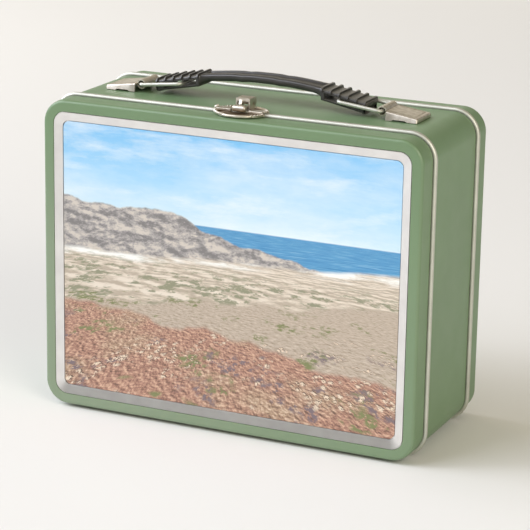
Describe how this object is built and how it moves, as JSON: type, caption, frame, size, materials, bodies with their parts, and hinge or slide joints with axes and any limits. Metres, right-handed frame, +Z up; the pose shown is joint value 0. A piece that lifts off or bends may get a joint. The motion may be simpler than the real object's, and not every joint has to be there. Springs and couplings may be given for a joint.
{
  "type": "metal lunch box",
  "caption": "Rectangular sheet-metal lunch box with a drop-front lid, rolled seam beads, a framed picture plate, a snap latch and an arched carrying handle.",
  "frame": {"origin": "on the surface that the box stands on, under the middle of the box", "axes": "+X along the width, to the right seen from the front; +Y to the back, so the lid faces -Y; +Z up through the handle"},
  "size_m": [0.2208, 0.0936, 0.1876],
  "materials": {
    "green_enamel": "satin sage-green enamel on pressed steel sheet",
    "bright_steel": "bright rolled steel",
    "satin_steel": "pale satin pressed steel",
    "printed_sheet": "printed sheet with a soft gloss",
    "nickel": "nickel-plated folded sheet",
    "black_plastic": "moulded plastic, satin"
  },
  "bodies": {
    "box": {"body_band": "green_enamel", "front_frame": "bright_steel", "back_frame": "bright_steel", "back_pan": "green_enamel", "hinge_leaf_body": "bright_steel", "hinge_pin": "bright_steel", "bracket_left": "nickel", "bracket_right": "nickel", "latch_base": "nickel"},
    "lid": {"lid_pan": "green_enamel", "front_tray": "satin_steel", "picture_plate": "printed_sheet", "hinge_leaf_lid": "bright_steel", "latch_keeper": "nickel"},
    "hasp": {"latch_hasp": "nickel"},
    "handle": {"handle": "black_plastic"},
    "bail_left": {"bail_left": "bright_steel"},
    "bail_right": {"bail_right": "bright_steel"}
  },
  "joints": [
    {"name": "lid_hinge", "type": "hinge", "parent": "box", "child": "lid", "pos_m": [0, -0.0315, 0.0014], "axis": [1, 0, 0], "range_deg": [0, 150]},
    {"name": "hasp_pivot", "type": "hinge", "parent": "box", "child": "hasp", "pos_m": [0.0005, -0.0245, 0.1769], "axis": [-1, 0, 0], "range_deg": [0, 70]},
    {"name": "handle_lift", "type": "slide", "parent": "box", "child": "handle", "axis": [0, 0, 1], "range_m": [0, 0.0172]},
    {"name": "bail_right_pivot", "type": "hinge", "parent": "box", "child": "bail_right", "pos_m": [0.07, 0, 0.1766], "axis": [0, 1, 0], "range_deg": [0, 41.5]},
    {"name": "bail_left_pivot", "type": "hinge", "parent": "box", "child": "bail_left", "pos_m": [-0.07, 0, 0.1766], "axis": [0, -1, 0], "range_deg": [0, 41.5]}
  ],
  "couplings": [
    {"joint": "bail_right_pivot", "follows": "handle_lift", "rad_per_m": 42},
    {"joint": "bail_left_pivot", "follows": "handle_lift", "rad_per_m": 42}
  ]
}
